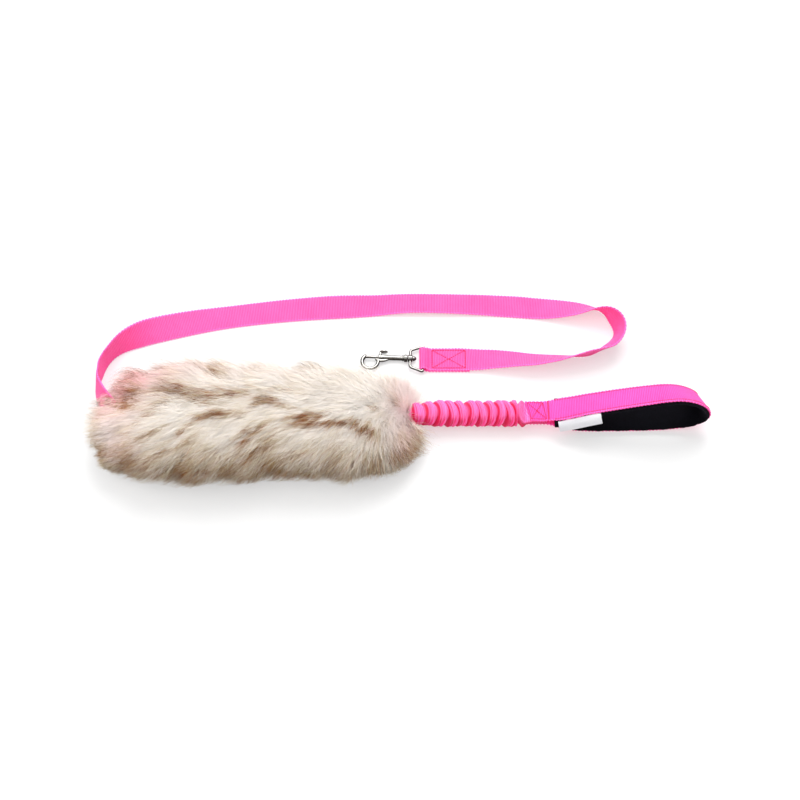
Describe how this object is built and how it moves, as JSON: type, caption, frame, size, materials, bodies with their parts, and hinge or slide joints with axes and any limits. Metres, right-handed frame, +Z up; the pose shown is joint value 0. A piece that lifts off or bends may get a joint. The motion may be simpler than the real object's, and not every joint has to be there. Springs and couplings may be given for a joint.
{
  "type": "tug leash",
  "caption": "Fur tug on a short bungee and padded loop handle, with a long flat webbing lead ending in a swivel bolt snap, laid out on a table.",
  "frame": {"origin": "Middle of the fur tug's flat underside, on the table.", "axes": "+X runs along the tug towards the handle, +Y towards the lead's long upper run, +Z up from the table."},
  "size_m": [0.5459, 0.2087, 0.0655],
  "materials": {
    "webbing": "satin",
    "thread": "satin",
    "sleeve": "satin",
    "lining": "matte",
    "label": "satin",
    "cream_thread": "satin",
    "fur": "matte",
    "fleece": "matte",
    "cord": "matte",
    "nickel": "polished",
    "steel": "satin"
  },
  "bodies": {
    "tug": {"fur_cover": "fur", "tug_core": "fleece", "core_strap": "webbing", "pelt_seam_thread": "cream_thread", "lead_webbing": "webbing", "anchor_stitching": "thread", "snap_end_stitching": "thread", "tug_binding": "cream_thread", "bungee_cord": "cord", "bungee_sleeve": "sleeve"},
    "handle": {"cord_crimp": "steel", "handle_webbing": "webbing", "handle_lining": "lining", "lining_stitching": "thread", "join_stitching": "thread", "bar_tack": "thread", "label_tag": "label"},
    "eye": {"swivel_eye": "nickel"},
    "snap": {"snap_body": "nickel", "swivel_rivet": "nickel", "bolt_spring": "steel"},
    "bolt": {"bolt": "nickel", "thumb_knob": "nickel"}
  },
  "joints": [
    {"name": "bungee_stretch", "type": "slide", "parent": "tug", "child": "handle", "axis": [1, 0, 0], "range_m": [0, 0.09], "stiffness_N_per_m": 300, "deforming": ["bungee_sleeve", "bungee_cord"]},
    {"name": "eye_hinge", "type": "hinge", "parent": "tug", "child": "eye", "pos_m": [0.1413, 0.0812, 0.00345], "axis": [0.0471, 0.9989, 0], "range_deg": [-70, 70]},
    {"name": "eye_swivel", "type": "hinge", "parent": "eye", "child": "snap", "pos_m": [0.1413, 0.0812, 0.00345], "axis": [0.9989, -0.0471, 0], "continuous": true},
    {"name": "bolt_slide", "type": "slide", "parent": "snap", "child": "bolt", "axis": [0.9989, -0.0471, 0], "range_m": [0, 0.008], "stiffness_N_per_m": 400, "springref_m": -0.005, "deforming": ["bolt_spring"]}
  ]
}
